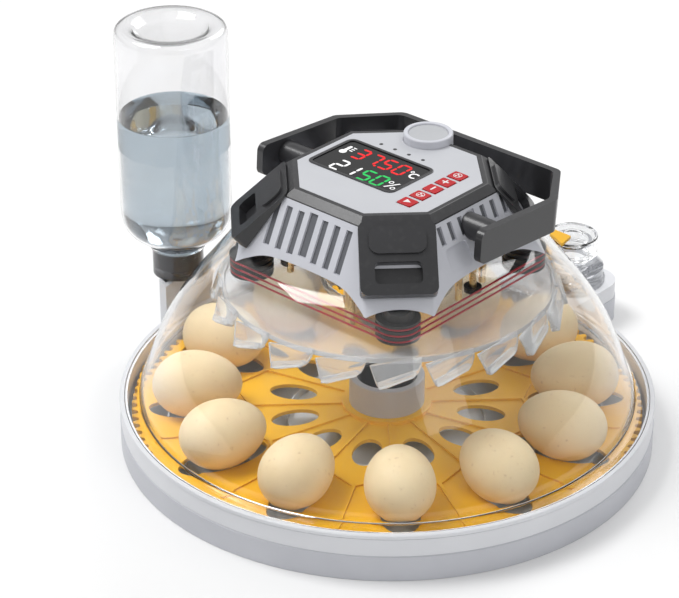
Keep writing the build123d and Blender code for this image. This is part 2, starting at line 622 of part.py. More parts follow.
def build_control_plate():
    plate = octagon_block(52.3, 55.2, PLATE_Z + 0.02, HEAD_TOP_Z)
    x0, x1, y0, y1 = WINDOW
    window = block(x0, x1, y0, y1, PLATE_Z - 1, HEAD_TOP_Z + 1)
    plate -= fillet(window.edges().filter_by(Axis.Z), 4.0)
    for y in BUTTON_Y:
        sx, sy = BUTTON_SIZE
        plate -= block(BUTTON_X - sx / 2 - 0.3, BUTTON_X + sx / 2 + 0.3, y - sy / 2 - 0.3, y + sy / 2 + 0.3, 170, 190)
    for x in LED_X:
        plate -= disc(1.25, 170, 190, x, LED_Y)
    plate -= disc(CUP_R + 0.3, 170, 190, CUP_X, CUP_Y)
    save("control_plate", plate)

    glass = block(x0 + 0.15, x1 - 0.15, y0 + 0.15, y1 - 0.15, PLATE_Z - 0.8, HEAD_TOP_Z - 0.15)
    save("display_window", fillet(glass.edges().filter_by(Axis.Z), 3.9))
    module = block(x0 + 3, x1 - 3, y0 + 3, y1 - 3, 173.8, PLATE_Z - 0.9)
    save("display_module", module)
    save("indicator_lamps", *[disc(1.2, 176, HEAD_TOP_Z + 0.1, x, LED_Y) for x in LED_X])
    for k, y in enumerate(BUTTON_Y):
        sx, sy = BUTTON_SIZE
        cap = block(BUTTON_X - sx / 2, BUTTON_X + sx / 2, y - sy / 2, y + sy / 2, 178.4, HEAD_TOP_Z + 0.7)
        cap = fillet(cap.edges().filter_by(Axis.Z), 1.2)
        save(f"button_{k + 1}", fillet(cap.edges().group_by(Axis.Z)[-1], 0.4))
    switches = [block(BUTTON_X - 3, BUTTON_X + 3, y - 3, y + 3, 173.65, 177.3) for y in BUTTON_Y]
    save("button_switches", *switches)

    cup = disc(CUP_R, 176.0, 188.4, CUP_X, CUP_Y) - disc(12.6, 186.0, 190, CUP_X, CUP_Y)
    cup -= disc(11.0, 178.0, 190, CUP_X, CUP_Y)
    save("candling_cup", fillet(cup.edges().filter_by(GeomType.CIRCLE).group_by(Axis.Z)[-1], 1.0))
    save("candling_lens", disc(12.5, 186.0, 187.2, CUP_X, CUP_Y))
    save("candling_lamp", disc(4.0, 178.0, 183.5, CUP_X, CUP_Y))


def build_handle():
    band_t = 5.0
    band_h = 21.0
    front_y = -22.0
    corner_x, corner_y = 63.0, 50.0
    half_t = band_t / 2
    x_out = HANDLE_X + half_t
    y_out = HANDLE_BACK_Y + half_t
    outer = [(x_out, front_y), (x_out, corner_y), (corner_x + 1, y_out), (-corner_x - 1, y_out),
             (-x_out, corner_y), (-x_out, front_y)]
    x_in = HANDLE_X - half_t
    y_in = HANDLE_BACK_Y - half_t
    inner = [(-x_in, front_y), (-x_in, corner_y - 1.5), (-corner_x + 1, y_in), (corner_x - 1, y_in),
             (x_in, corner_y - 1.5), (x_in, front_y)]
    low = HANDLE_PIVOT_Z - band_h / 2
    band = prism(outer + inner, low, low + band_h)
    upright = [edge for edge in band.edges().filter_by(Axis.Z) if edge.center().Y > 40]
    band = fillet(upright, 7.0)
    ends = [edge for edge in band.edges().filter_by(Axis.X) if edge.center().Y < front_y + 0.1]
    band = fillet(ends, 5.0)
    for side in (-1, 1):
        band -= Pos(side * (HANDLE_X - 3.5), HANDLE_PIVOT_Y, HANDLE_PIVOT_Z) * Rot(0, 90, 0) * Cylinder(
            PIN_R + 0.05, 10)
    pivot = Axis((0, HANDLE_PIVOT_Y, HANDLE_PIVOT_Z), (1, 0, 0))
    save("carry_handle", band.rotate(pivot, -4.0))

    bosses = []
    for side in (-1, 1):
        x_face = 62.0
        boss = Pos(side * (x_face + 85.2) / 2, HANDLE_PIVOT_Y, HANDLE_PIVOT_Z) * Rot(0, 90, 0) * Cylinder(
            8.0, 85.2 - x_face)
        boss -= taper(shroud_half(150, -0.05), 150, shroud_half(180, -0.05), 180)
        boss += Pos(side * 62, HANDLE_PIVOT_Y, HANDLE_PIVOT_Z) * Rot(0, 90, 0) * Cylinder(5.0, 12)
        boss -= Pos(side * 76, HANDLE_PIVOT_Y, HANDLE_PIVOT_Z) * Rot(0, 90, 0) * Cylinder(PIN_R, 30)
        bosses.append(boss)
    save("handle_bosses", *bosses)
    pins = []
    for side in (-1, 1):
        pin = Pos(side * 77, HANDLE_PIVOT_Y, HANDLE_PIVOT_Z) * Rot(0, 90, 0) * Cylinder(PIN_R - 0.01, 24.6)
        pins.append(pin)
    save("handle_pins", *pins)


build_base()
build_tray()
build_water_side()
build_dome()
build_heater()
build_shroud()
build_frame_and_panels()
build_head_inside()
build_control_plate()
build_handle()
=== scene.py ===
import json
import logging
import math
from dataclasses import dataclass, field
from enum import Enum

import bpy
from mathutils import Matrix, Vector

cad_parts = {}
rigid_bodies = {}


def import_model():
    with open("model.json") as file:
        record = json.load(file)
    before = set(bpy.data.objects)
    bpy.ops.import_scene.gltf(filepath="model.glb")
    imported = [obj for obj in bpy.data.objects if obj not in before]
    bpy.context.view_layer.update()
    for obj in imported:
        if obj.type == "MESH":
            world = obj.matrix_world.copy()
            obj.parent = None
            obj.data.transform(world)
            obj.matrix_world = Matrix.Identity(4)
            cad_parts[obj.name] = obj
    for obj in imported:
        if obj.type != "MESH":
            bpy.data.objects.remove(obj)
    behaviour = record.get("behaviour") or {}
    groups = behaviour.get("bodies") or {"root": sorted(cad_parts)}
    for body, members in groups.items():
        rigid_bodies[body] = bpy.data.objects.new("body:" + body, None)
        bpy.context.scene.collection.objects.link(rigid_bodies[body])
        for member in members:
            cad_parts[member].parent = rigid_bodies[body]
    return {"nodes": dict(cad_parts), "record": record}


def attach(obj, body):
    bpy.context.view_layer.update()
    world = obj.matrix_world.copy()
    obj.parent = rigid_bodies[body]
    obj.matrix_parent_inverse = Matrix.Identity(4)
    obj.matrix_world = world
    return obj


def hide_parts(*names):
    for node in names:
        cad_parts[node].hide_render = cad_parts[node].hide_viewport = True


for _left_over in list(bpy.data.objects):
    bpy.data.objects.remove(_left_over)
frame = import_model()

MM = 0.001
LOG = logging.getLogger("incubator")
Point = tuple[float, float]
Point3 = tuple[float, float, float]
Colour = tuple[float, float, float]


# ---------------------------------------------------------------- drawing curves
def smooth_line(points: list[Point], steps: int) -> list[Point]:
    """Run a smooth curve through a few points.

    Args:
        points: The corners that the curve passes through.
        steps: How many short runs replace each span.

    Returns:
        The points of the curve, ends included.
    """
    padded = [points[0], *points, points[-1]]
    line: list[Point] = []
    for index in range(1, len(padded) - 2):
        before, start, end, after = padded[index - 1:index + 3]
        for step in range(steps):
            t = step / steps
            line.append(tuple(
                0.5 * (2 * b + (c - a) * t + (2 * a - 5 * b + 4 * c - d) * t * t + (3 * b - a - 3 * c + d) * t ** 3)
                for a, b, c, d in zip(before, start, end, after)))
    line.append(points[-1])
    return line


def offset_line(points: list[Point], wall: float) -> list[Point]:
    """Move an open profile sideways by a wall thickness.

    Args:
        points: Radius and height pairs.
        wall: The distance to the left of the direction of travel.

    Returns:
        The moved points.
    """
    moved: list[Point] = []
    for index, (r, z) in enumerate(points):
        before = points[max(index - 1, 0)]
        after = points[min(index + 1, len(points) - 1)]
        run, rise = after[0] - before[0], after[1] - before[1]
        length = math.hypot(run, rise)
        moved.append((r - wall * rise / length, z + wall * run / length))
    return moved


def around(radius: float, degrees: float) -> Point:
    """Give the place at a radius and direction."""
    return radius * math.cos(math.radians(degrees)), radius * math.sin(math.radians(degrees))


def rounded_outline(width: float, height: float, radius: float, steps: int = 5) -> list[Point]:
    """Draw a rectangle with round corners about the origin.

    Args:
        width: Full size along x.
        height: Full size along y.
        radius: Corner radius.
        steps: Runs in each corner.

    Returns:
        The closed outline's points.
    """
    points: list[Point] = []
    for quarter in range(4):
        sign_x = 1 if quarter in (0, 3) else -1
        sign_y = 1 if quarter in (0, 1) else -1
        for step in range(steps + 1):
            x, y = around(radius, 90 * quarter + 90 * step / steps)
            points.append((sign_x * (width / 2 - radius) + x, sign_y * (height / 2 - radius) + y))
    return points


# ---------------------------------------------------------------- finishes
class Surface(Enum):
    """How a finish's pattern is drawn."""

    MOULDED = "moulded"
    CLEAR = "clear"
    SHELL = "shell"
    METAL = "metal"
    GLOW = "glow"


class Sketch:
    """Short hand for drawing a node tree."""

    def __init__(self, tree: bpy.types.NodeTree) -> None:
        """Start on an empty or a filled tree."""
        self.tree = tree

    def node(self, kind: str, **settings: object) -> bpy.types.Node:
        """Add a node.

        Args:
            kind: The node's type name.
            settings: Its properties by name, and its sockets by name with underscores for spaces.

        Returns:
            The new node.
        """
        made = self.tree.nodes.new(kind)
        for name, value in settings.items():
            socket = made.inputs.get(name.replace("_", " "))
            if socket is None:
                setattr(made, name, value)
            elif isinstance(value, bpy.types.NodeSocket):
                self.tree.links.new(value, socket)
            else:
                socket.default_value = value
        return made

    def sum(self, kind: str, first: object, second: object) -> bpy.types.NodeSocket:
        """Join two values with a Math node.

        Args:
            kind: The operation.
            first: A socket or a number.
            second: A socket or a number.

        Returns:
            The result's socket.
        """
        made = self.tree.nodes.new("ShaderNodeMath")
        made.operation = kind
        for socket, value in zip(made.inputs, (first, second)):
            if isinstance(value, bpy.types.NodeSocket):
                self.tree.links.new(value, socket)
            else:
                socket.default_value = value
        return made.outputs[0]

    def blend(self, share: bpy.types.NodeSocket, first: object, second: object) -> bpy.types.NodeSocket:
        """Blend two colours.

        Args:
            share: How much of the second colour shows.
            first: A colour or its socket.
            second: A colour or its socket.

        Returns:
            The colour's socket.
        """
        made = self.tree.nodes.new("ShaderNodeMix")
        made.data_type = "RGBA"
        self.tree.links.new(share, made.inputs["Factor"])
        for socket, value in ((made.inputs[6], first), (made.inputs[7], second)):
            if isinstance(value, bpy.types.NodeSocket):
                self.tree.links.new(value, socket)
            else:
                socket.default_value = (*value, 1.0)
        return made.outputs[2]

    def ramp(self, value: bpy.types.NodeSocket, low: float, high: float) -> bpy.types.NodeSocket:
        """Stretch a value so that low becomes 0 and high becomes 1."""
        made = self.node("ShaderNodeMapRange", clamp=True)
        self.tree.links.new(value, made.inputs["Value"])
        made.inputs["From Min"].default_value = low
        made.inputs["From Max"].default_value = high
        return made.outputs["Result"]


def new_group(name: str, inputs: dict[str, tuple[str, object]], outputs: dict[str, str]) -> tuple:
    """Start a shader node group with named sockets.

    Args:
        name: The group's name.
        inputs: Socket name to its type and default.
        outputs: Socket name to its type.

    Returns:
        The group, its sketch, its input node and its output node.
    """
    group = bpy.data.node_groups.new(name, "ShaderNodeTree")
    for label, (kind, value) in inputs.items():
        socket = group.interface.new_socket(name=label, in_out="INPUT", socket_type=kind)
        socket.default_value = value
    for label, kind in outputs.items():
        group.interface.new_socket(name=label, in_out="OUTPUT", socket_type=kind)
    return group, Sketch(group), group.nodes.new("NodeGroupInput"), group.nodes.new("NodeGroupOutput")


FLOAT, COLOUR = "NodeSocketFloat", "NodeSocketColor"


def moulded_group() -> bpy.types.NodeTree:
    """Build the moulded plastic pattern: slow drift of tone, fine grain, hairline scuffs and settled dust.

    Returns:
        A group that puts out a colour, a roughness and a height.
    """
    group, sketch, given, result = new_group(
        "moulded_surface",
        {"Tone": (COLOUR, (0.5, 0.5, 0.5, 1)), "Drift Tone": (COLOUR, (0.4, 0.4, 0.4, 1)),
         "Drift Scale": (FLOAT, 18.0), "Grain Scale": (FLOAT, 900.0), "Roughness": (FLOAT, 0.4),
         "Scuffs": (FLOAT, 0.3), "Dust": (FLOAT, 0.1)},
        {"Color": COLOUR, "Roughness": FLOAT, "Height": FLOAT})
    place = sketch.node("ShaderNodeTexCoord").outputs["Object"]
    drift = sketch.node("ShaderNodeTexNoise", Vector=place, Scale=given.outputs["Drift Scale"], Detail=4.0)
    grain = sketch.node("ShaderNodeTexNoise", Vector=place, Scale=given.outputs["Grain Scale"], Detail=2.0)
    stretched = sketch.node("ShaderNodeMapping", Vector=place, Rotation=(0.3, 0.5, 0.9), Scale=(14.0, 420.0, 260.0))
    hair = sketch.node("ShaderNodeTexNoise", Vector=stretched.outputs[0], Scale=1.0, Detail=3.0)
    scuff = sketch.sum("MULTIPLY", sketch.ramp(hair.outputs["Fac"], 0.62, 0.74), given.outputs["Scuffs"])
    normal = sketch.node("ShaderNodeSeparateXYZ", Vector=sketch.node("ShaderNodeNewGeometry").outputs["Normal"])
    upward = sketch.ramp(normal.outputs["Z"], 0.5, 1.0)
    specks = sketch.node("ShaderNodeTexNoise", Vector=place, Scale=260.0, Detail=5.0)
    dust = sketch.sum("MULTIPLY", upward, sketch.ramp(specks.outputs["Fac"], 0.52, 0.75))
    dust = sketch.sum("MULTIPLY", dust, given.outputs["Dust"])
    tone = sketch.blend(sketch.ramp(drift.outputs["Fac"], 0.35, 0.65), given.outputs["Tone"],
                        given.outputs["Drift Tone"])
    tone = sketch.blend(dust, tone, (0.62, 0.61, 0.59))
    rough = sketch.sum("ADD", given.outputs["Roughness"], sketch.sum("MULTIPLY", scuff, 0.25))
    rough = sketch.sum("ADD", rough, sketch.sum("MULTIPLY", dust, 0.3))
    wander = sketch.sum("MULTIPLY", sketch.sum("SUBTRACT", drift.outputs["Fac"], 0.5), 0.12)
    height = sketch.sum("SUBTRACT", grain.outputs["Fac"], sketch.sum("MULTIPLY", scuff, 0.6))
    group.links.new(tone, result.inputs["Color"])
    group.links.new(sketch.sum("ADD", rough, wander), result.inputs["Roughness"])
    group.links.new(height, result.inputs["Height"])
    return group


def clear_group() -> bpy.types.NodeTree:
    """Build the clear plastic pattern: a slow flow wave in the wall and faint wipe marks.

    Returns:
        A group that puts out a colour, a roughness and a height.
    """
    group, sketch, given, result = new_group(
        "clear_wall",
        {"Tone": (COLOUR, (0.9, 0.9, 0.9, 1)), "Drift Tone": (COLOUR, (0.8, 0.8, 0.8, 1)),
         "Drift Scale": (FLOAT, 9.0), "Roughness": (FLOAT, 0.02), "Scuffs": (FLOAT, 0.05)},
        {"Color": COLOUR, "Roughness": FLOAT, "Height": FLOAT})
    place = sketch.node("ShaderNodeTexCoord").outputs["Object"]
    wave = sketch.node("ShaderNodeTexNoise", Vector=place, Scale=given.outputs["Drift Scale"], Detail=1.0)
    wiped = sketch.node("ShaderNodeTexNoise", Vector=place, Scale=34.0, Detail=5.0, Distortion=1.4)
    mark = sketch.sum("MULTIPLY", sketch.ramp(wiped.outputs["Fac"], 0.5, 0.72), given.outputs["Scuffs"])
    tone = sketch.blend(sketch.ramp(wave.outputs["Fac"], 0.35, 0.7), given.outputs["Tone"],
                        given.outputs["Drift Tone"])
    group.links.new(tone, result.inputs["Color"])
    group.links.new(sketch.sum("ADD", given.outputs["Roughness"], mark), result.inputs["Roughness"])
    group.links.new(wave.outputs["Fac"], result.inputs["Height"])
    return group


def shell_group() -> bpy.types.NodeTree:
    """Build the eggshell pattern: blotches, a few freckles and fine pores.

    Returns:
        A group that puts out a colour, a roughness and a height.
    """
    group, sketch, given, result = new_group(
        "egg_shell",
        {"Tone": (COLOUR, (0.8, 0.6, 0.4, 1)), "Drift Tone": (COLOUR, (0.7, 0.5, 0.3, 1)),
         "Roughness": (FLOAT, 0.5)},
        {"Color": COLOUR, "Roughness": FLOAT, "Height": FLOAT})
    place = sketch.node("ShaderNodeTexCoord").outputs["Object"]
    blotch = sketch.node("ShaderNodeTexNoise", Vector=place, Scale=38.0, Detail=4.0)
    freckle = sketch.node("ShaderNodeTexNoise", Vector=place, Scale=420.0, Detail=3.0)
    pores = sketch.node("ShaderNodeTexVoronoi", Vector=place, Scale=850.0)
    tone = sketch.blend(sketch.ramp(blotch.outputs["Fac"], 0.3, 0.7), given.outputs["Tone"],
                        given.outputs["Drift Tone"])
    spots = sketch.sum("MULTIPLY", sketch.ramp(freckle.outputs["Fac"], 0.64, 0.72), 0.35)
    tone = sketch.blend(spots, tone, (0.46, 0.27, 0.14))
    rough = sketch.sum("ADD", given.outputs["Roughness"], sketch.sum("MULTIPLY", blotch.outputs["Fac"], 0.1))
    group.links.new(tone, result.inputs["Color"])
    group.links.new(rough, result.inputs["Roughness"])
    group.links.new(sketch.ramp(pores.outputs["Distance"], 0.0, 0.35), result.inputs["Height"])
    return group


def metal_group() -> bpy.types.NodeTree:
    """Build the drawn metal pattern: fine lines along z and dull finger marks.

    Returns:
        A group that puts out a colour, a roughness and a height.
    """
    group, sketch, given, result = new_group(
        "drawn_metal",
        {"Tone": (COLOUR, (0.6, 0.6, 0.6, 1)), "Drift Tone": (COLOUR, (0.5, 0.5, 0.5, 1)),
         "Roughness": (FLOAT, 0.3)},
        {"Color": COLOUR, "Roughness": FLOAT, "Height": FLOAT})
    place = sketch.node("ShaderNodeTexCoord").outputs["Object"]
    stretched = sketch.node("ShaderNodeMapping", Vector=place, Scale=(1600.0, 1600.0, 40.0))
    lines = sketch.node("ShaderNodeTexNoise", Vector=stretched.outputs[0], Scale=1.0, Detail=2.0)
    marks = sketch.node("ShaderNodeTexNoise", Vector=place, Scale=90.0, Detail=4.0)
    tone = sketch.blend(sketch.ramp(marks.outputs["Fac"], 0.4, 0.7), given.outputs["Tone"],
                        given.outputs["Drift Tone"])
    rough = sketch.sum("ADD", given.outputs["Roughness"], sketch.sum("MULTIPLY", marks.outputs["Fac"], 0.15))
    group.links.new(tone, result.inputs["Color"])
    group.links.new(rough, result.inputs["Roughness"])
    group.links.new(lines.outputs["Fac"], result.inputs["Height"])
    return group


@dataclass(frozen=True)
class Finish:
    """One finish: its two tones, its pattern and how it takes the light."""

    name: str
    tone: Colour
    drift: Colour
    roughness: float
    surface: Surface = Surface.MOULDED
    metallic: float = 0.0
    transmission: float = 0.0
    ior: float = 1.46
    drift_scale: float = 18.0
    grain_scale: float = 900.0
    relief: float = 0.05
    depth_mm: float = 0.05
    scuffs: float = 0.3
    dust: float = 0.08
    coat: float = 0.0
    sheen: float = 0.0
    subsurface: float = 0.0
    glow: float = 0.0
    light_through: float = 0.0

    def material(self) -> bpy.types.Material:
        """Make the material.

        Returns:
            A node material with this finish's pattern on its shader.
        """
        known = bpy.data.materials.get("finish_" + self.name)
        if known:
            return known
        material = bpy.data.materials.new("finish_" + self.name)
        material.use_nodes = True
        tree = material.node_tree
        sketch = Sketch(tree)
        shader = tree.nodes["Principled BSDF"]
        pattern = tree.nodes.new("ShaderNodeGroup")
        pattern.node_tree = GROUPS[self.surface]
        values = {"Tone": (*self.tone, 1), "Drift Tone": (*self.drift, 1), "Roughness": self.roughness,
                  "Drift Scale": self.drift_scale, "Grain Scale": self.grain_scale, "Scuffs": self.scuffs,
                  "Dust": self.dust}
        for label, value in values.items():
            if label in pattern.inputs:
                pattern.inputs[label].default_value = value
        tree.links.new(pattern.outputs["Color"], shader.inputs["Base Color"])
        tree.links.new(pattern.outputs["Roughness"], shader.inputs["Roughness"])
        bump = sketch.node("ShaderNodeBump", Strength=self.relief, Distance=self.depth_mm * MM,
                           Height=pattern.outputs["Height"])
        tree.links.new(bump.outputs[0], shader.inputs["Normal"])
        shader.inputs["Metallic"].default_value = self.metallic
        shader.inputs["Transmission Weight"].default_value = self.transmission
        shader.inputs["IOR"].default_value = self.ior
        shader.inputs["Coat Weight"].default_value = self.coat
        shader.inputs["Coat Roughness"].default_value = 0.12
        shader.inputs["Sheen Weight"].default_value = self.sheen
        shader.inputs["Subsurface Weight"].default_value = self.subsurface
        shader.inputs["Subsurface Radius"].default_value = (0.006, 0.003, 0.0015)
        shader.inputs["Subsurface Scale"].default_value = 1.0
        if self.glow:
            tree.links.new(pattern.outputs["Color"], shader.inputs["Emission Color"])
            shader.inputs["Emission Strength"].default_value = self.glow
        if self.light_through:
            self.let_light_through(sketch, shader)
        return material

    def let_light_through(self, sketch: Sketch, shader: bpy.types.Node) -> None:
        """Let most light pass a clear wall to what stands behind it.

        Args:
            sketch: The material's sketch.
            shader: The finish's main shader.
        """
        path = sketch.node("ShaderNodeLightPath")
        passing = sketch.node("ShaderNodeBsdfTransparent", Color=(*(self.light_through,) * 3, 1))
        mix = sketch.tree.nodes.new("ShaderNodeMixShader")
        output = sketch.tree.nodes["Material Output"]
        sketch.tree.links.new(path.outputs["Is Shadow Ray"], mix.inputs[0])
        sketch.tree.links.new(shader.outputs[0], mix.inputs[1])
        sketch.tree.links.new(passing.outputs[0], mix.inputs[2])
        sketch.tree.links.new(mix.outputs[0], output.inputs["Surface"])


GROUPS: dict[Surface, bpy.types.NodeTree] = {
    Surface.MOULDED: moulded_group(),
    Surface.CLEAR: clear_group(),
    Surface.SHELL: shell_group(),
    Surface.METAL: metal_group(),
}
GROUPS[Surface.GLOW] = GROUPS[Surface.MOULDED]

BASE_GREY = Finish("base_grey", (0.57, 0.58, 0.62), (0.53, 0.54, 0.58), 0.42)
BASE_WHITE = Finish("base_white", (0.74, 0.75, 0.78), (0.70, 0.71, 0.74), 0.36)
HEAD_WHITE = Finish("head_white", (0.62, 0.63, 0.68), (0.59, 0.60, 0.65), 0.32)
PLATE_GREY = Finish("plate_grey", (0.54, 0.55, 0.58), (0.51, 0.52, 0.55), 0.38, grain_scale=1500.0)
RUBBER = Finish("rubber", (0.03, 0.03, 0.032), (0.05, 0.05, 0.05), 0.75, scuffs=0.6)
STEEL = Finish("steel", (0.55, 0.55, 0.57), (0.45, 0.45, 0.47), 0.28, Surface.METAL, metallic=1.0)
PAN = Finish("pan_plastic", (0.76, 0.80, 0.85), (0.68, 0.73, 0.79), 0.22, coat=0.3)
COLUMN = Finish("column_grey", (0.48, 0.48, 0.50), (0.44, 0.44, 0.46), 0.42)
BLACK = Finish("black_plastic", (0.012, 0.012, 0.013), (0.02, 0.02, 0.021), 0.35, dust=0.03)
DARK = Finish("dark_plastic", (0.026, 0.026, 0.028), (0.033, 0.033, 0.036), 0.30, grain_scale=1300.0,
              dust=0.03, coat=0.2)
CLEAR = Finish("clear_plastic", (0.985, 0.988, 0.99), (0.97, 0.975, 0.98), 0.012, Surface.CLEAR, transmission=1.0,
               ior=1.45, relief=0.12, depth_mm=0.6, scuffs=0.03, light_through=0.94)
BOTTLE_CLEAR = Finish("bottle_clear", (0.955, 0.955, 0.96), (0.93, 0.93, 0.94), 0.010, Surface.CLEAR,
                      transmission=1.0, ior=1.48, relief=0.10, depth_mm=0.6, scuffs=0.02, light_through=0.90)
GUIDE_CLEAR = Finish("guide_clear", (0.93, 0.94, 0.95), (0.90, 0.91, 0.92), 0.06, Surface.CLEAR, transmission=0.78,
                     ior=1.40, relief=0.12, depth_mm=0.5, scuffs=0.03, light_through=0.85)
# Painted shade: a dark grey that stands in for the shadow deep inside the shroud's vent slots.
PAINTED_VENT_SHADE = Finish("painted_vent_shade", (0.15, 0.155, 0.17), (0.12, 0.125, 0.14), 0.6, scuffs=0.1, dust=0.05)
WATER = Finish("water", (0.50, 0.58, 0.63), (0.40, 0.48, 0.54), 0.005, Surface.CLEAR, transmission=1.0, ior=1.33,
               drift_scale=16.0, relief=0.35, depth_mm=1.6, scuffs=0.0, light_through=0.80)
SMOKE = Finish("smoke_plastic", (0.16, 0.16, 0.17), (0.10, 0.10, 0.11), 0.14, Surface.CLEAR, transmission=0.55,
               relief=0.1, depth_mm=0.3, light_through=0.3)
YELLOW = Finish("yellow_plastic", (0.86, 0.47, 0.008), (0.82, 0.43, 0.006), 0.34, dust=0.03)
EGGSHELL = Finish("eggshell", (0.85, 0.70, 0.45), (0.80, 0.63, 0.38), 0.50, Surface.SHELL, subsurface=0.08,
                  relief=0.10, depth_mm=0.06)
RED_WIRE = Finish("red_wire", (0.42, 0.008, 0.025), (0.34, 0.005, 0.018), 0.3, coat=0.3)
BRASS = Finish("brass", (0.76, 0.55, 0.27), (0.62, 0.43, 0.20), 0.2, Surface.METAL, metallic=1.0)
BOARD = Finish("board_green", (0.02, 0.16, 0.06), (0.015, 0.12, 0.045), 0.35, coat=0.3)
SCREEN = Finish("display_black", (0.004, 0.004, 0.005), (0.006, 0.006, 0.007), 0.22, coat=0.1, scuffs=0.05, dust=0.0)
LAMP_OFF = Finish("lamp_black", (0.012, 0.012, 0.012), (0.02, 0.02, 0.02), 0.3, coat=0.2)
LENS = Finish("lens_grey", (0.50, 0.51, 0.53), (0.44, 0.45, 0.47), 0.5)
LAMP_WHITE = Finish("lamp_white", (0.85, 0.85, 0.80), (0.8, 0.8, 0.74), 0.3)
BUTTON_RED = Finish("button_red", (0.50, 0.004, 0.010), (0.44, 0.003, 0.008), 0.36, dust=0.0, scuffs=0.1)
GLOW_RED = Finish("glow_red", (0.75, 0.008, 0.012), (0.62, 0.005, 0.008), 0.5, Surface.GLOW, glow=0.45, dust=0.0)
GLOW_GREEN = Finish("glow_green", (0.01, 0.50, 0.10), (0.008, 0.42, 0.08), 0.5, Surface.GLOW, glow=0.4, dust=0.0)
GLOW_WHITE = Finish("glow_white", (0.86, 0.86, 0.86), (0.80, 0.80, 0.80), 0.5, Surface.GLOW, glow=0.3, dust=0.0)
INK_WHITE = Finish("ink_white", (0.80, 0.79, 0.78), (0.74, 0.73, 0.72), 0.45)
FINISHES: dict[str, Finish] = {
    finish.name: finish for finish in (
        BASE_GREY, BASE_WHITE, HEAD_WHITE, PLATE_GREY, RUBBER, STEEL, PAN, COLUMN, BLACK, DARK, CLEAR, WATER, SMOKE,
        YELLOW, EGGSHELL, RED_WIRE, BRASS, BOARD, SCREEN, LAMP_OFF, LENS, LAMP_WHITE, BUTTON_RED)}


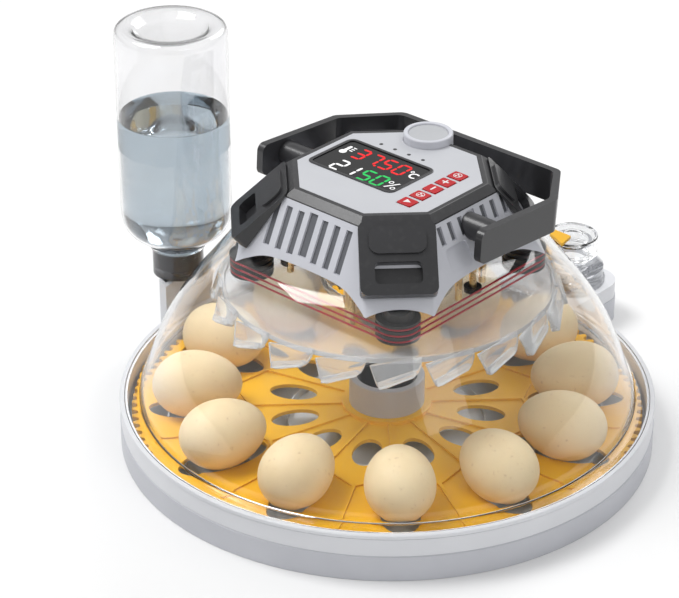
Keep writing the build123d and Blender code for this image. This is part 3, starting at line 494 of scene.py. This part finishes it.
# ---------------------------------------------------------------- modelling moves
class Bench:
    """The modelling moves that the sub-assemblies share. Sizes are in millimetres."""

    @staticmethod
    def clear() -> None:
        """Leave object mode with nothing selected."""
        if bpy.context.mode != "OBJECT":
            bpy.ops.object.mode_set(mode="OBJECT")
        bpy.ops.object.select_all(action="DESELECT")

    @staticmethod
    def draw(points: list[Point3]) -> bpy.types.Object:
        """Draw a chain of edges, point by point, and stay in edit mode.

        Args:
            points: The places that the chain passes through.

        Returns:
            The object being edited.
        """
        Bench.clear()
        first = Vector(points[0]) * MM
        bpy.ops.mesh.primitive_plane_add(size=MM, location=first)
        made = bpy.context.active_object
        bpy.ops.object.mode_set(mode="EDIT")
        bpy.ops.mesh.select_all(action="SELECT")
        bpy.ops.mesh.merge(type="CENTER")
        before = first
        for point in points[1:]:
            now = Vector(point) * MM
            bpy.ops.mesh.extrude_vertices_move(TRANSFORM_OT_translate={"value": now - before})
            before = now
        return made

    @staticmethod
    def close(made: bpy.types.Object, gap: float = 0.002) -> bpy.types.Object:
        """Merge doubles, turn the faces outwards and leave edit mode.

        Args:
            made: The object being edited.
            gap: Doubles closer than this are merged.

        Returns:
            The same object, with its place in its mesh.
        """
        bpy.ops.mesh.select_all(action="SELECT")
        bpy.ops.mesh.remove_doubles(threshold=gap * MM)
        bpy.ops.mesh.normals_make_consistent(inside=False)
        bpy.ops.object.mode_set(mode="OBJECT")
        bpy.ops.object.transform_apply(location=True, rotation=True, scale=True)
        return made

    @staticmethod
    def lathe(profile: list[Point], steps: int, x: float = 0.0, y: float = 0.0) -> bpy.types.Object:
        """Spin a profile about an upright axis.

        Args:
            profile: Radius and height pairs, closed or with both ends on the axis.
            steps: How many faces go round.
            x: The axis's place.
            y: The axis's place.

        Returns:
            The turned object.
        """
        made = Bench.draw([(x + r, y, z) for r, z in profile])
        bpy.ops.mesh.select_all(action="SELECT")
        bpy.ops.mesh.spin(steps=steps, angle=2 * math.pi, center=(x * MM, y * MM, 0), axis=(0, 0, 1))
        return Bench.close(made)

    @staticmethod
    def slab(outline: list[Point], low: float, high: float, bevel: float = 0.0, segments: int = 2) -> bpy.types.Object:
        """Extrude a closed outline upwards and round its edges.

        Args:
            outline: The outline's corners.
            low: Height of the underside.
            high: Height of the top.
            bevel: Width of the rounding.
            segments: Steps in the rounding.

        Returns:
            The slab.
        """
        made = Bench.draw([(x, y, low) for x, y in [*outline, outline[0]]])
        bpy.ops.mesh.select_all(action="SELECT")
        bpy.ops.mesh.remove_doubles(threshold=0.002 * MM)
        bpy.ops.mesh.edge_face_add()
        bpy.ops.mesh.extrude_region_move(TRANSFORM_OT_translate={"value": (0, 0, (high - low) * MM)})
        Bench.close(made)
        if bevel:
            Bench.round_edges(made, bevel, segments)
        return made

    @staticmethod
    def hoop(outline: list[Point], low: float, high: float, width: float, bevel: float = 0.0) -> bpy.types.Object:
        """Make a flat hoop that follows an outline inside it.

        Args:
            outline: The outer corners.
            low: Height of the underside.
            high: Height of the top.
            width: Width of the band.
            bevel: Width of the rounding.

        Returns:
            The hoop.
        """
        made = Bench.draw([(x, y, low) for x, y in [*outline, outline[0]]])
        bpy.ops.mesh.select_all(action="SELECT")
        bpy.ops.mesh.remove_doubles(threshold=0.002 * MM)
        bpy.ops.mesh.edge_face_add()
        bpy.ops.mesh.inset(thickness=width * MM)
        bpy.ops.mesh.delete(type="FACE")
        bpy.ops.mesh.select_all(action="SELECT")
        bpy.ops.mesh.extrude_region_move(TRANSFORM_OT_translate={"value": (0, 0, (high - low) * MM)})
        Bench.close(made)
        if bevel:
            Bench.round_edges(made, bevel, 2, 50.0)
        return made

    @staticmethod
    def round_edges(made: bpy.types.Object, width: float, segments: int = 2, angle: float = 30.0) -> None:
        """Round the sharp edges of a piece.

        Args:
            made: The piece.
            width: Width of the rounding.
            segments: Steps in the rounding.
            angle: Edges sharper than this are rounded.
        """
        rounding = made.modifiers.new("rounding", "BEVEL")
        rounding.width = width * MM
        rounding.segments = segments
        rounding.limit_method = "ANGLE"
        rounding.angle_limit = math.radians(angle)
        Bench.apply(made)

    @staticmethod
    def apply(made: bpy.types.Object) -> None:
        """Apply all the modifiers of a piece."""
        Bench.clear()
        bpy.context.view_layer.objects.active = made
        made.select_set(True)
        for modifier in list(made.modifiers):
            bpy.ops.object.modifier_apply(modifier=modifier.name)

    @staticmethod
    def place(made: bpy.types.Object, move: Point3 = (0, 0, 0), spin: Point3 = (0, 0, 0)) -> bpy.types.Object:
        """Turn a piece about the origin, in degrees about x, y and z, and then move it.

        Args:
            made: The piece.
            move: How far it moves.
            spin: How far it turns about each axis.

        Returns:
            The same piece, with its place in its mesh.
        """
        turn = Matrix.Identity(4)
        for degrees, axis in zip(spin, "XYZ"):
            turn = Matrix.Rotation(math.radians(degrees), 4, axis) @ turn
        made.matrix_world = Matrix.Translation(Vector(move) * MM) @ turn
        Bench.clear()
        bpy.context.view_layer.objects.active = made
        made.select_set(True)
        bpy.ops.object.transform_apply(location=True, rotation=True, scale=True)
        return made

    @staticmethod
    def copy(made: bpy.types.Object) -> bpy.types.Object:
        """Copy a piece with its own mesh."""
        twin = made.copy()
        twin.data = made.data.copy()
        bpy.context.scene.collection.objects.link(twin)
        return twin

    @staticmethod
    def join(parts: list[bpy.types.Object]) -> bpy.types.Object:
        """Join several meshes into the first of them."""
        Bench.clear()
        for part in parts:
            part.select_set(True)
        bpy.context.view_layer.objects.active = parts[0]
        if len(parts) > 1:
            bpy.ops.object.join()
        return bpy.context.view_layer.objects.active

    @staticmethod
    def smooth(made: bpy.types.Object, angle: float = 35.0) -> None:
        """Shade a piece smooth, with edges sharper than the angle kept crisp."""
        Bench.clear()
        bpy.context.view_layer.objects.active = made
        made.select_set(True)
        bpy.ops.object.shade_smooth_by_angle(angle=math.radians(angle))


@dataclass
class SubAssembly:
    """A group of pieces that ride on one body."""

    body: str = ""
    made: list = field(default_factory=list, init=False, repr=False)

    def build(self) -> None:
        """Make the meshes of the sub-assembly."""
        raise NotImplementedError

    def dress(self) -> None:
        """Give every piece of the group its finish."""
        for piece, finish in self.made:
            piece.data.materials.clear()
            piece.data.materials.append(finish.material())

    def own(self, piece: bpy.types.Object, name: str, finish: Finish, slot: str = "", stands_for: tuple = (),
            angle: float = 35.0, body: str = "") -> bpy.types.Object:
        """Name a finished piece, note its finish and hang it on its body.

        Args:
            piece: The modelled mesh.
            name: The piece's name.
            finish: Its finish.
            slot: A material slot name; not used.
            stands_for: The carried nodes that it replaces.
            angle: Edges sharper than this stay crisp.
            body: The body that it rides on; the group's own when empty.

        Returns:
            The same piece.
        """
        Bench.smooth(piece, angle)
        piece.name = piece.data.name = name
        self.made.append((piece, finish))
        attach(piece, body or self.body)
        if stands_for:
            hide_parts(*stands_for)
        LOG.info("piece %s: %d faces", name, len(piece.data.polygons))
        return piece


def dress_nodes() -> None:
    """Give every carried node the finish of its material slot."""
    for part in frame["record"]["subparts"]:
        node = frame["nodes"][part["node"]]
        node.data.materials.clear()
        node.data.materials.append(FINISHES[part["material_slot"]].material())
        LOG.info("node %s: %s", part["node"], part["material_slot"])


# ---------------------------------------------------------------- tray
@dataclass
class EggTray(SubAssembly):
    """The twelve eggs that lie in the turning tray."""

    body: str = "tray"
    count: int = 12
    first_deg: float = -45.3
    ring_r: float = 120.0
    half_length: float = 28.2
    half_width: float = 21.4
    blunt: float = 0.10
    height: float = 36.3
    steps: int = 48

    def build(self) -> None:
        """Turn one egg on its long axis and lay a copy in every slot."""
        profile: list[Point] = []
        for step in range(self.steps + 1):
            angle = math.pi * step / self.steps
            swell = 1.0 - self.blunt * math.cos(angle)
            profile.append((self.half_width * math.sin(angle) * swell, -self.half_length * math.cos(angle)))
        profile[0] = (0.0, -self.half_length)
        profile[-1] = (0.0, self.half_length)
        egg = Bench.lathe(profile, 64)
        Bench.place(egg, spin=(0, 90, 0))
        for station in range(self.count):
            one = Bench.copy(egg)
            degrees = self.first_deg + 360.0 / self.count * station
            Bench.place(one, move=(self.ring_r, 0, self.height), spin=(47.0 * station, 0, 0))
            Bench.place(one, spin=(0, 0, degrees))
            stands_for = ("eggs",) if station == 0 else ()
            self.own(one, f"egg_{station + 1:02d}", EGGSHELL, stands_for=stands_for, angle=80)
        bpy.data.objects.remove(egg)


# ---------------------------------------------------------------- water bottle
@dataclass
class WaterBottle(SubAssembly):
    """The upturned bottle and the water in it."""

    body: str = "bottle"
    x: float = -178.4
    y: float = -8.4
    radius: float = 36.9
    top: float = 232.0
    neck_r: float = 14.0
    neck_low: float = 60.0
    water_top: float = 168.6
    wall: float = 1.2

    def outside(self) -> list[Point]:
        """Give the outer profile, from the mouth up to the middle of the recessed base."""
        r = self.radius
        shoulder = smooth_line([(self.neck_r, 76.5), (16.2, 78.2), (21.0, 80.2), (28.0, 83.6), (33.2, 88.6),
                                (36.0, 94.6), (r, 101.5)], 6)
        side = [(r - 0.15, 120.0), (r, 140.0), (r - 0.1, 168.0), (r, 200.0), (r - 0.05, 224.0)]
        rim = smooth_line([(r - 0.1, 226.4), (r - 1.4, 230.0), (r - 4.6, 231.9), (r - 8.0, 231.8)], 4)
        middle = smooth_line([(r - 12.0, 230.8), (r - 15.0, 228.4), (r - 18.0, 227.2), (12.0, 226.8), (5.0, 226.6)], 3)
        return [*shoulder, *side, *rim, *middle, (0.0, 226.5)]

    def build(self) -> None:
        """Make the bottle's wall, with its flange, and the water inside."""
        outer = self.outside()
        inner = offset_line(outer, self.wall)
        inner[-1] = (0.0, outer[-1][1] - self.wall)
        inner[0] = (self.neck_r - self.wall, 77.0)
        flange = [(self.neck_r, 73.7), (18.3, 73.7), (18.6, 74.2), (18.6, 75.6), (18.3, 76.0), (self.neck_r, 76.1)]
        mouth = [(self.neck_r - self.wall, self.neck_low), (self.neck_r, self.neck_low)]
        profile = [*reversed(inner), *mouth, *flange, *outer]
        bottle = Bench.lathe(profile, 96, self.x, self.y)
        self.own(bottle, "bottle_wall", BOTTLE_CLEAR, "clear_plastic", stands_for=("water_bottle",), angle=50)
        gap = 0.03
        wet = [(r - gap, z) for r, z in inner if z < self.water_top - 1.0]
        meniscus = [(wet[-1][0], self.water_top + 0.9), (wet[-1][0] - 0.8, self.water_top + 0.25),
                    (wet[-1][0] - 2.2, self.water_top), (20.0, self.water_top - 0.05)]
        mouth_r = self.neck_r - self.wall - gap
        water = [(0.0, 62.1), (mouth_r, 62.1), *wet, *meniscus, (0.0, self.water_top)]
        filling = Bench.lathe(water, 96, self.x, self.y)
        self.own(filling, "bottle_filling", WATER, stands_for=("bottle_water",), angle=60)


# ---------------------------------------------------------------- dome
@dataclass
class Dome(SubAssembly):
    """The clear dome with its flange."""

    body: str = "lid"
    wall: float = 2.2
    hole_r: float = 69.0
    profile: list = field(default_factory=lambda: [
        (157.0, 32.6), (156.2, 38.0), (152.0, 48.0), (143.0, 71.0), (131.0, 91.5), (113.0, 115.0), (99.0, 132.5),
        (88.0, 141.0), (72.0, 146.0), (69.2, 146.3)])

    def build(self) -> None:
        """Turn the dome as one closed wall."""
        outer = smooth_line(self.profile, 7)
        inner = offset_line(outer, self.wall)
        inner[0] = (outer[0][0] - self.wall, 30.2)
        inner[-1] = (self.hole_r, outer[-1][1] - self.wall)
        outer[-1] = (self.hole_r, outer[-1][1])
        flange = [(166.6, 30.2), (166.8, 30.5), (166.8, 31.2), (166.5, 31.6), (159.4, 31.6), (158.2, 31.8),
                  (157.4, 32.1)]
        loop = [*outer, *reversed(inner), *flange, outer[0]]
        self.own(Bench.lathe(loop, 144), "dome_shell", CLEAR, stands_for=("dome",), angle=50)


# ---------------------------------------------------------------- display
class Glyph(Enum):
    """The lit bars of a digit: top, upper right, lower right, bottom, lower left, upper left, middle."""

    ZERO = "1111110"
    ONE = "0110000"
    TWO = "1101101"
    THREE = "1111001"
    FIVE = "1011011"
    SEVEN = "1110000"


@dataclass
class Display(SubAssembly):
    """The lit figures behind the window."""

    body: str = "lid"
    glass_z: float = 183.05
    height: float = 0.12
    bar: float = 1.75
    upper_y: float = 6.6
    lower_y: float = -13.2
    tall: float = 12.6
    wide: float = 7.0

    def bar_slab(self, x: float, y: float, length: float, upright: bool) -> bpy.types.Object:
        """Make one bar with pointed ends.

        Args:
            x: Its middle.
            y: Its middle.
            length: Its length.
            upright: Whether it stands.

        Returns:
            The bar.
        """
        half, thick = length / 2, self.bar / 2
        outline = [(-half, 0), (-half + thick, thick), (half - thick, thick), (half, 0), (half - thick, -thick),
                   (-half + thick, -thick)]
        if upright:
            outline = [(-b, a) for a, b in outline]
        outline = [(a + x, b + y) for a, b in outline]
        return Bench.slab(outline, self.glass_z, self.glass_z + self.height, 0.04, 1)

    def digit(self, glyph: Glyph, x: float, y: float) -> list[bpy.types.Object]:
        """Make the lit bars of a digit.

        Args:
            glyph: The digit.
            x: Its middle.
            y: Its middle.

        Returns:
            The lit bars.
        """
        half_w, quarter = self.wide / 2, self.tall / 4
        places = [(0, 2 * quarter, False), (half_w, quarter, True), (half_w, -quarter, True), (0, -2 * quarter, False),
                  (-half_w, -quarter, True), (-half_w, quarter, True), (0, 0, False)]
        bars = []
        for lit, (dx, dy, upright) in zip(glyph.value, places):
            if lit == "1":
                length = (2 * quarter if upright else self.wide) - 0.5
                bars.append(self.bar_slab(x + dx, y + dy, length, upright))
        return bars

    def build(self) -> None:
        """Set out the two rows of figures, their units and the thermometer sign."""
        low, high = self.glass_z, self.glass_z + self.height
        top_row = []
        for glyph, x in ((Glyph.THREE, -28.4), (Glyph.SEVEN, -17.6), (Glyph.FIVE, -6.6), (Glyph.ZERO, 4.2)):
            top_row.extend(self.digit(glyph, x, self.upper_y))
        top_row.append(Bench.slab(rounded_outline(1.7, 1.7, 0.5, 2), low, high))
        Bench.place(top_row[-1], move=(-12.1, 0.2, 0))
        self.own(Bench.join(top_row), "figures_temperature", GLOW_RED, slot="lamp_white")
        days = self.digit(Glyph.TWO, -28.6, self.lower_y) + self.digit(Glyph.ONE, -18.6, self.lower_y)
        self.own(Bench.join(days), "figures_days", GLOW_WHITE, slot="lamp_white")
        damp = self.digit(Glyph.FIVE, -6.6, self.lower_y) + self.digit(Glyph.ZERO, 3.8, self.lower_y)
        self.own(Bench.join(damp), "figures_humidity", GLOW_GREEN, slot="lamp_white")
        self.own(Bench.join(self.signs(low, high)), "figures_signs", GLOW_WHITE, slot="lamp_white")

    def signs(self, low: float, high: float) -> list[bpy.types.Object]:
        """Make the degree, centigrade, per cent and thermometer signs.

        Args:
            low: Height of their undersides.
            high: Height of their tops.

        Returns:
            The pieces of the signs.
        """
        signs = []
        for x, y, r in ((11.3, 9.0, 1.3), (10.9, -10.3, 1.7), (16.4, -15.9, 1.7)):
            signs.append(Bench.hoop(rounded_outline(2 * r, 2 * r, r, 4), low, high, 0.6))
            Bench.place(signs[-1], move=(x, y, 0))
        outside = [around(3.5, 48 + 264 * k / 14) for k in range(15)]
        inside = [around(2.3, 312 - 264 * k / 14) for k in range(15)]
        arc = outside + inside
        signs.append(Bench.place(Bench.slab(arc, low, high), move=(15.6, 5.2, 0)))
        slash = [(10.4, -17.6), (11.6, -17.6), (16.9, -8.6), (15.7, -8.6)]
        signs.append(Bench.slab(slash, low, high))
        bulb = [around(2.5, 118 + 304 * k / 16) for k in range(17)]
        signs.append(Bench.place(Bench.slab(bulb + [(1.1, 8.0), (0.5, 8.7), (-0.5, 8.7), (-1.1, 8.0)], low, high),
                                 move=(-40.2, 2.6, 0)))
        for step in range(3):
            signs.append(Bench.slab(rounded_outline(2.6, 0.9, 0.3, 2), low, high))
            Bench.place(signs[-1], move=(-36.6, 6.0 + 2.2 * step, 0))
        return signs


# ---------------------------------------------------------------- keys
@dataclass
class Keys(SubAssembly):
    """The white signs printed on the five red keys."""

    x: float = 35.6
    y: tuple = (-24.1, -12.4, -0.7, 10.9, 22.5)
    top: float = 183.9
    height: float = 0.08

    def build(self) -> None:
        """Make a sign for every key and let it ride on that key."""
        low, high = self.top - 0.02, self.top + self.height
        plus = [(-2.4, -0.55), (-0.55, -0.55), (-0.55, -2.4), (0.55, -2.4), (0.55, -0.55), (2.4, -0.55), (2.4, 0.55),
                (0.55, 0.55), (0.55, 2.4), (-0.55, 2.4), (-0.55, 0.55), (-2.4, 0.55)]
        shapes = ([Bench.slab([(-1.9, -2.2), (2.4, 0.0), (-1.9, 2.2)], low, high)], self.rotor(low, high),
                  [Bench.slab([(-0.6, -2.5), (0.6, -2.5), (0.6, 2.5), (-0.6, 2.5)], low, high)],
                  [Bench.slab(plus, low, high)], self.rotor(low, high))
        for index, (parts, y) in enumerate(zip(shapes, self.y)):
            sign = Bench.place(Bench.join(parts), move=(self.x, y, 0))
            number = index + 1
            self.own(sign, f"key_sign_{number}", INK_WHITE, slot="button_red", body=f"button_{number}")

    def rotor(self, low: float, high: float) -> list[bpy.types.Object]:
        """Make a small three-bladed rotor sign.

        Args:
            low: Height of its underside.
            high: Height of its top.

        Returns:
            Its hub ring and blades.
        """
        parts = [Bench.hoop(rounded_outline(5.6, 5.6, 2.8, 5), low, high, 0.45)]
        for turn in range(3):
            blade = Bench.slab([(0.2, -0.3), (1.0, -0.9), (2.0, -0.5), (1.9, 0.5), (1.0, 0.4)], low, high)
            parts.append(Bench.place(blade, spin=(0, 0, 120 * turn)))
        return parts


# ---------------------------------------------------------------- air guide
@dataclass
class AirGuide(SubAssembly):
    """The clear plate under the heater, with scoops all round its rim."""

    body: str = "lid"
    rim_r: float = 103.5
    top: float = 111.5
    count: int = 20
    first_deg: float = -46.5
    thick: float = 3.0
    lean_deg: float = 20.0
    skew_deg: float = 9.0

    def build(self) -> None:
        """Turn the plate with its rim, and hang a copy of the scoop at every station."""
        r, top = self.rim_r, self.top
        loop = [(40.0, 108.0), (r - 0.4, 108.0), (r, 108.4), (r, top - 0.5), (r - 0.5, top), (r - 2.0, top),
                (r - 2.4, top - 0.5), (r - 2.4, 110.4), (r - 2.8, 110.0), (41.8, 110.0), (41.5, 110.3), (41.5, 113.6),
                (41.2, 114.0), (40.3, 114.0), (40.0, 113.7), (40.0, 108.0)]
        plate = Bench.lathe(loop, 120)
        self.own(plate, "guide_plate", GUIDE_CLEAR, "clear_plastic", stands_for=("air_guide",), angle=40)
        scoop = self.scoop()
        for station in range(self.count):
            one = Bench.copy(scoop)
            Bench.place(one, spin=(0, 0, self.first_deg + 360.0 / self.count * station))
            self.own(one, f"guide_scoop_{station + 1:02d}", GUIDE_CLEAR, "clear_plastic", angle=28)
        bpy.data.objects.remove(scoop)

    def scoop(self) -> bpy.types.Object:
        """Model one scoop: a skewed blade with a thick lower lip.

        Returns:
            The scoop at direction 0.
        """
        outline = [(-15.6, 0.0), (15.6, 0.0), (14.6, -5.0), (12.2, -9.2), (8.0, -12.0), (-9.0, -15.6), (-12.0, -15.2),
                   (-13.4, -12.6)]
        blade = Bench.slab(outline, 0.0, self.thick, 0.7, 2)
        lip = Bench.slab([(-12.6, -15.4), (8.4, -11.9), (11.6, -9.4), (9.2, -7.6), (-12.4, -11.2)], -1.6,
                         self.thick + 1.0, 0.8, 2)
        piece = Bench.join([blade, lip])
        Bench.place(piece, spin=(90, 0, 90))
        Bench.place(piece, spin=(self.skew_deg, -self.lean_deg, 0))
        return Bench.place(piece, move=(self.rim_r - 1.6, 0, self.top - 2.0))


# ---------------------------------------------------------------- head trim
@dataclass
class HeadTrim(SubAssembly):
    """The bezel of the display, and dark slabs in the vents of the shroud whose colour is painted shade."""

    body: str = "lid"
    window: tuple = (-46.5, 19.5, -21.5, 18.5)
    face_half: float = 60.0
    face_lean: float = 0.489
    face_top: float = 179.0
    front: tuple = tuple(-34.0 + 9.6 * k for k in range(7))
    side: tuple = tuple(3.0 + side * step for side in (-1, 1) for step in (10.4, 19.8, 29.2))
    sunk: float = 1.38

    def build(self) -> None:
        """Make the bezel and line the vents on the four faces with dark slabs of painted shade."""
        x0, x1, y0, y1 = self.window
        bezel = Bench.hoop(rounded_outline(x1 - x0 + 3.2, y1 - y0 + 3.2, 5.2), 183.1, 183.75, 2.2, 0.25)
        Bench.place(bezel, move=((x0 + x1) / 2, (y0 + y1) / 2, 0))
        self.own(bezel, "display_bezel", DARK)
        # Dark slabs of painted shade sunk in each vent, standing in for the shadow inside it.
        vents = [self.vent(x, 6.0 if x == self.front[3] else 4.4, 26.4, 3.8 if x == self.front[3] else 5.3, -90)
                 for x in self.front]
        self.own(Bench.join(vents), "painted_shade_vents_front", PAINTED_VENT_SHADE, "dark_plastic")
        for name, turn, sign in (("right", 0, 1), ("left", 180, -1)):
            vents = [self.vent(along * sign, 3.6, 10.9, 3.5, turn) for along in self.side]
            self.own(Bench.join(vents), f"painted_shade_vents_{name}", PAINTED_VENT_SHADE, "dark_plastic")
        vents = [self.vent(along - 3, 3.6, 21.4, 4.3, 90) for along in self.side]
        self.own(Bench.join(vents), "painted_shade_vents_back", PAINTED_VENT_SHADE, "dark_plastic")

    def vent(self, along: float, width: float, length: float, start: float, turn: float) -> bpy.types.Object:
        """Make the dark slab at the floor of one vent, its colour painted shade.

        Args:
            along: Its place along the face.
            width: Its width.
            length: Its length down the face.
            start: The distance from the top edge of the face.
            turn: The direction that the face looks, in degrees from +X.

        Returns:
            The painted-shade slab, in place.
        """
        drop = (start + length / 2) / math.hypot(1, self.face_lean)
        lean = math.degrees(math.atan(self.face_lean))
        floor = Bench.slab(rounded_outline(length, width, 0.5, 2), -self.sunk - 0.3, -self.sunk)
        Bench.place(floor, spin=(0, 90 - lean, 0))
        Bench.place(floor, move=(self.face_half + drop * self.face_lean, along, self.face_top - drop))
        return Bench.place(floor, spin=(0, 0, turn))


# ---------------------------------------------------------------- studio
@dataclass
class Studio:
    """The floor, the lights and the camera."""

    lens: float = 135.2
    sensor: float = 36.0
    eye: Point3 = (0.9111, -1.0569, 0.8665)
    look: Point3 = (-0.5855, 0.6502, -0.4842)
    lights: tuple = (
        # name, place, size, power, aimed at
        ("key", (-0.9, -0.5, 2.0), 1.0, 26.0, (0, 0, 0.08)),
        ("fill", (1.9, -0.6, 1.5), 0.9, 7.0, (0, 0, 0.08)),
        ("rim", (-0.3, 1.9, 1.4), 1.2, 12.0, (0, 0, 0.1)),
    )
    glossless: str = "fill"
    horizon: float = 0.25
    zenith: float = 0.60

    def sky(self) -> bpy.types.World:
        """Make a pale surround that is darker towards the horizon, as in a tented studio.

        Returns:
            The world.
        """
        world = bpy.data.worlds.new("studio")
        world.use_nodes = True
        sketch = Sketch(world.node_tree)
        direction = sketch.node("ShaderNodeTexCoord").outputs["Generated"]
        height = sketch.node("ShaderNodeSeparateXYZ", Vector=direction).outputs["Z"]
        level = sketch.ramp(height, 0.02, 0.45)
        tone = sketch.blend(level, (self.horizon,) * 3, (self.zenith,) * 3)
        background = world.node_tree.nodes["Background"]
        world.node_tree.links.new(tone, background.inputs["Color"])
        background.inputs["Strength"].default_value = 1.0
        return world

    def build(self) -> None:
        """Set up the floor, world, lights and camera."""
        scene = bpy.context.scene
        scene.view_settings.view_transform = "Standard"
        Bench.clear()
        bpy.ops.mesh.primitive_plane_add(size=12.0, location=(0, 0, -0.0002))
        floor = bpy.context.active_object
        floor.name = "studio_floor"
        paint = Finish("studio_floor", (0.90, 0.90, 0.90), (0.885, 0.885, 0.885), 0.6, drift_scale=2.0, scuffs=0.0,
                       dust=0.0, relief=0.0)
        floor.data.materials.append(paint.material())
        scene.world = self.sky()
        for name, place, size, power, target in self.lights:
            data = bpy.data.lights.new(name, "AREA")
            data.size = size
            data.energy = power
            lamp = bpy.data.objects.new("light_" + name, data)
            lamp.location = place
            lamp.visible_glossy = name != self.glossless
            aim = Vector(target) - Vector(place)
            lamp.rotation_euler = aim.to_track_quat("-Z", "Y").to_euler()
            scene.collection.objects.link(lamp)
        data = bpy.data.cameras.new("camera")
        data.lens = self.lens
        data.sensor_width = self.sensor
        data.clip_start = 0.01
        camera = bpy.data.objects.new("camera", data)
        camera.location = self.eye
        camera.rotation_euler = Vector(self.look).to_track_quat("-Z", "Y").to_euler()
        scene.collection.objects.link(camera)
        scene.camera = camera
        LOG.info("studio ready")


def main() -> None:
    """Build the studio and every sub-assembly in order."""
    logging.basicConfig(level=logging.INFO, format="%(name)s: %(message)s")
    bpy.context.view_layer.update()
    Studio().build()
    dress_nodes()
    for group in (EggTray(), WaterBottle(), Dome(), AirGuide(), HeadTrim(), Display(), Keys()):
        group.build()
        group.dress()


if __name__ == "__main__":
    main()
